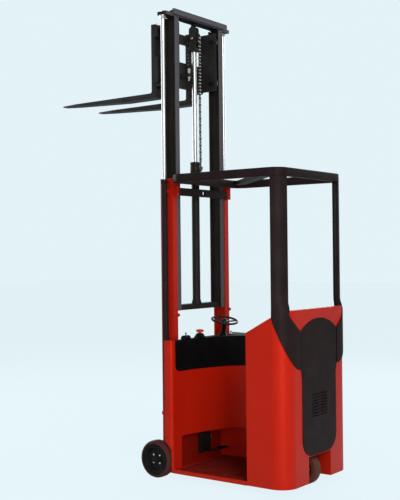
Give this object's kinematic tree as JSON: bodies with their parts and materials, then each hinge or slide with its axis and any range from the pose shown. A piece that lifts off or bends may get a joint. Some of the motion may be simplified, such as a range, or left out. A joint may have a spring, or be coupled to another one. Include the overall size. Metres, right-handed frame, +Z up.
{
  "type": "narrow-aisle forklift",
  "caption": "Stand-on side-entry electric narrow-aisle truck with a raised telescopic free-lift mast, hook-on forks, overhead guard, curved bulkhead, console and steered drive wheel.",
  "frame": {"origin": "on the ground, midway between the load wheels and midway along the truck and forks", "axes": "+X to the truck's right, +Y forward along the forks, +Z up"},
  "size_m": [0.924, 2.24, 3.426],
  "materials": {
    "red_paint": "gloss",
    "dark_coat": "satin",
    "mast_grey": "satin",
    "fork_black": "satin",
    "black_plastic": "moulded",
    "wheel_plastic": "moulded",
    "red_plastic": "gloss",
    "floor_rubber": "ribbed",
    "black_tyre": "solid rubber",
    "brown_tread": "polyurethane",
    "rod_chrome": "hard chrome",
    "bare_steel": "oiled",
    "black_iron": "painted",
    "chain_steel": "oiled",
    "motor_case": "cast",
    "alloy": "cast",
    "battery_block": "grey coat"
  },
  "bodies": {
    "truck": {"chassis_frame": "red_paint", "rear_shell": "red_paint", "front_shroud": "red_paint", "front_bulkhead": "red_paint", "well_rear_wall": "red_paint", "floor_mat": "floor_rubber", "console": "black_plastic", "battery_lid": "black_plastic", "rear_cover": "dark_coat", "steering_column": "black_plastic", "estop_base": "black_plastic", "lever_pod": "black_plastic", "pedal_bracket": "fork_black", "battery": "battery_block", "pump_unit": "motor_case", "motor_controller": "alloy", "overhead_guard": "dark_coat", "guard_post_left": "dark_coat", "guard_post_right": "dark_coat", "outer_upright_left": "red_paint", "outer_upright_right": "red_paint", "mast_head_bar": "dark_coat", "side_barrel_left": "dark_coat", "side_barrel_right": "dark_coat"},
    "inner_mast": {"inner_upright_left": "mast_grey", "inner_upright_right": "mast_grey", "inner_top_bar": "mast_grey", "inner_bottom_bar": "mast_grey", "side_rod_left": "rod_chrome", "side_rod_right": "rod_chrome", "free_lift_barrel": "mast_grey", "free_lift_gland": "mast_grey", "chain_rear": "chain_steel"},
    "crosshead": {"free_lift_rod": "rod_chrome", "crosshead": "fork_black", "chain_wrap": "chain_steel"},
    "sheave": {"chain_sheave": "bare_steel"},
    "carriage": {"carriage_frame": "fork_black", "chain_anchor": "bare_steel", "chain_front": "chain_steel"},
    "fork_left": {"fork_left": "fork_black"},
    "fork_right": {"fork_right": "fork_black"},
    "outer_mast_rollers": {"outer_mast_rollers": "bare_steel"},
    "inner_mast_rollers": {"inner_mast_rollers": "bare_steel"},
    "carriage_rollers_upper": {"carriage_rollers_upper": "bare_steel"},
    "carriage_rollers_lower": {"carriage_rollers_lower": "bare_steel"},
    "drive_unit": {"drive_yoke": "motor_case", "drive_motor": "motor_case"},
    "drive_wheel": {"drive_tyre": "brown_tread", "drive_hub": "black_iron"},
    "load_wheel_left": {"load_tyre_left": "black_tyre", "load_rim_left": "black_iron"},
    "load_wheel_right": {"load_tyre_right": "black_tyre", "load_rim_right": "black_iron"},
    "steering_wheel": {"steering_wheel": "wheel_plastic"},
    "estop_button": {"estop_button": "red_plastic"},
    "lift_lever": {"lift_lever": "black_plastic"},
    "brake_pedal": {"brake_pedal": "fork_black"},
    "battery_door": {"battery_door": "red_paint"},
    "key": {"key": "bare_steel"}
  },
  "joints": [
    {"name": "inner_mast_lift", "type": "slide", "parent": "truck", "child": "inner_mast", "axis": [0, 0, 1], "range_m": [-1.14, 0]},
    {"name": "free_lift", "type": "slide", "parent": "inner_mast", "child": "crosshead", "axis": [0, 0, 1], "range_m": [-0.8, 0], "deforming": ["chain_rear"]},
    {"name": "carriage_lift", "type": "slide", "parent": "crosshead", "child": "carriage", "axis": [0, 0, 1], "range_m": [-0.8, 0], "deforming": ["chain_front"]},
    {"name": "sheave_spin", "type": "hinge", "parent": "crosshead", "child": "sheave", "pos_m": [0, -0.05, 3.268], "axis": [1, 0, 0], "range_deg": [-890, 10]},
    {"name": "inner_mast_rollers_spin", "type": "hinge", "parent": "inner_mast", "child": "inner_mast_rollers", "pos_m": [0, -0.05, 1.261], "axis": [1, 0, 0], "range_deg": [-1480, 10]},
    {"name": "outer_mast_rollers_spin", "type": "hinge", "parent": "truck", "child": "outer_mast_rollers", "pos_m": [0, -0.05, 2.135], "axis": [1, 0, 0], "range_deg": [-10, 1710]},
    {"name": "carriage_rollers_upper_spin", "type": "hinge", "parent": "carriage", "child": "carriage_rollers_upper", "pos_m": [0, -0.05, 3.285], "axis": [1, 0, 0], "range_deg": [-10, 2400]},
    {"name": "carriage_rollers_lower_spin", "type": "hinge", "parent": "carriage", "child": "carriage_rollers_lower", "pos_m": [0, -0.05, 2.96], "axis": [1, 0, 0], "range_deg": [-2400, 10]},
    {"name": "fork_left_slide", "type": "slide", "parent": "carriage", "child": "fork_left", "axis": [1, 0, 0], "range_m": [-0.015, 0.14]},
    {"name": "fork_right_slide", "type": "slide", "parent": "carriage", "child": "fork_right", "axis": [1, 0, 0], "range_m": [-0.14, 0.015]},
    {"name": "drive_steer", "type": "hinge", "parent": "truck", "child": "drive_unit", "pos_m": [0, -0.985, 0.115], "axis": [0, 0, 1], "range_deg": [-90, 90]},
    {"name": "steering_wheel_turn", "type": "hinge", "parent": "truck", "child": "steering_wheel", "pos_m": [0.135, -0.215, 1.116], "axis": [-0.0906, -0.2243, 0.9703], "range_deg": [-450, 450]},
    {"name": "drive_wheel_spin", "type": "hinge", "parent": "drive_unit", "child": "drive_wheel", "pos_m": [0, -0.985, 0.115], "axis": [1, 0, 0], "continuous": true},
    {"name": "load_wheel_left_spin", "type": "hinge", "parent": "truck", "child": "load_wheel_left", "pos_m": [-0.42, 0, 0.135], "axis": [1, 0, 0], "continuous": true},
    {"name": "load_wheel_right_spin", "type": "hinge", "parent": "truck", "child": "load_wheel_right", "pos_m": [0.42, 0, 0.135], "axis": [1, 0, 0], "continuous": true},
    {"name": "estop_press", "type": "slide", "parent": "truck", "child": "estop_button", "axis": [0, 0, -1], "range_m": [0, 0.006], "stiffness_N_per_m": 1500, "springref_m": -0.002},
    {"name": "lift_lever_tilt", "type": "hinge", "parent": "truck", "child": "lift_lever", "pos_m": [-0.244, -0.132, 1.02], "axis": [1, 0, 0], "range_deg": [-20, 20], "stiffness_Nm_per_rad": 0.5},
    {"name": "pedal_press", "type": "hinge", "parent": "truck", "child": "brake_pedal", "pos_m": [-0.03, -0.134, 0.145], "axis": [1, 0, 0], "range_deg": [0, 18], "stiffness_Nm_per_rad": 10, "springref_deg": -11.46},
    {"name": "battery_door_swing", "type": "hinge", "parent": "truck", "child": "battery_door", "pos_m": [0.435, -0.157, 0.3], "axis": [0, 0, 1], "range_deg": [0, 100]},
    {"name": "key_turn", "type": "hinge", "parent": "truck", "child": "key", "pos_m": [0.235, -0.2, 1], "axis": [0, 0, 1], "range_deg": [0, 60]}
  ],
  "couplings": [
    {"joint": "carriage_lift", "follows": "free_lift", "ratio": 1},
    {"joint": "sheave_spin", "follows": "free_lift", "rad_per_m": 19.231},
    {"joint": "carriage_rollers_upper_spin", "follows": "free_lift", "rad_per_m": -51.948},
    {"joint": "carriage_rollers_lower_spin", "follows": "free_lift", "rad_per_m": 51.948},
    {"joint": "inner_mast_rollers_spin", "follows": "inner_mast_lift", "rad_per_m": 22.472},
    {"joint": "outer_mast_rollers_spin", "follows": "inner_mast_lift", "rad_per_m": -25.974},
    {"joint": "steering_wheel_turn", "follows": "drive_steer", "ratio": -5}
  ]
}
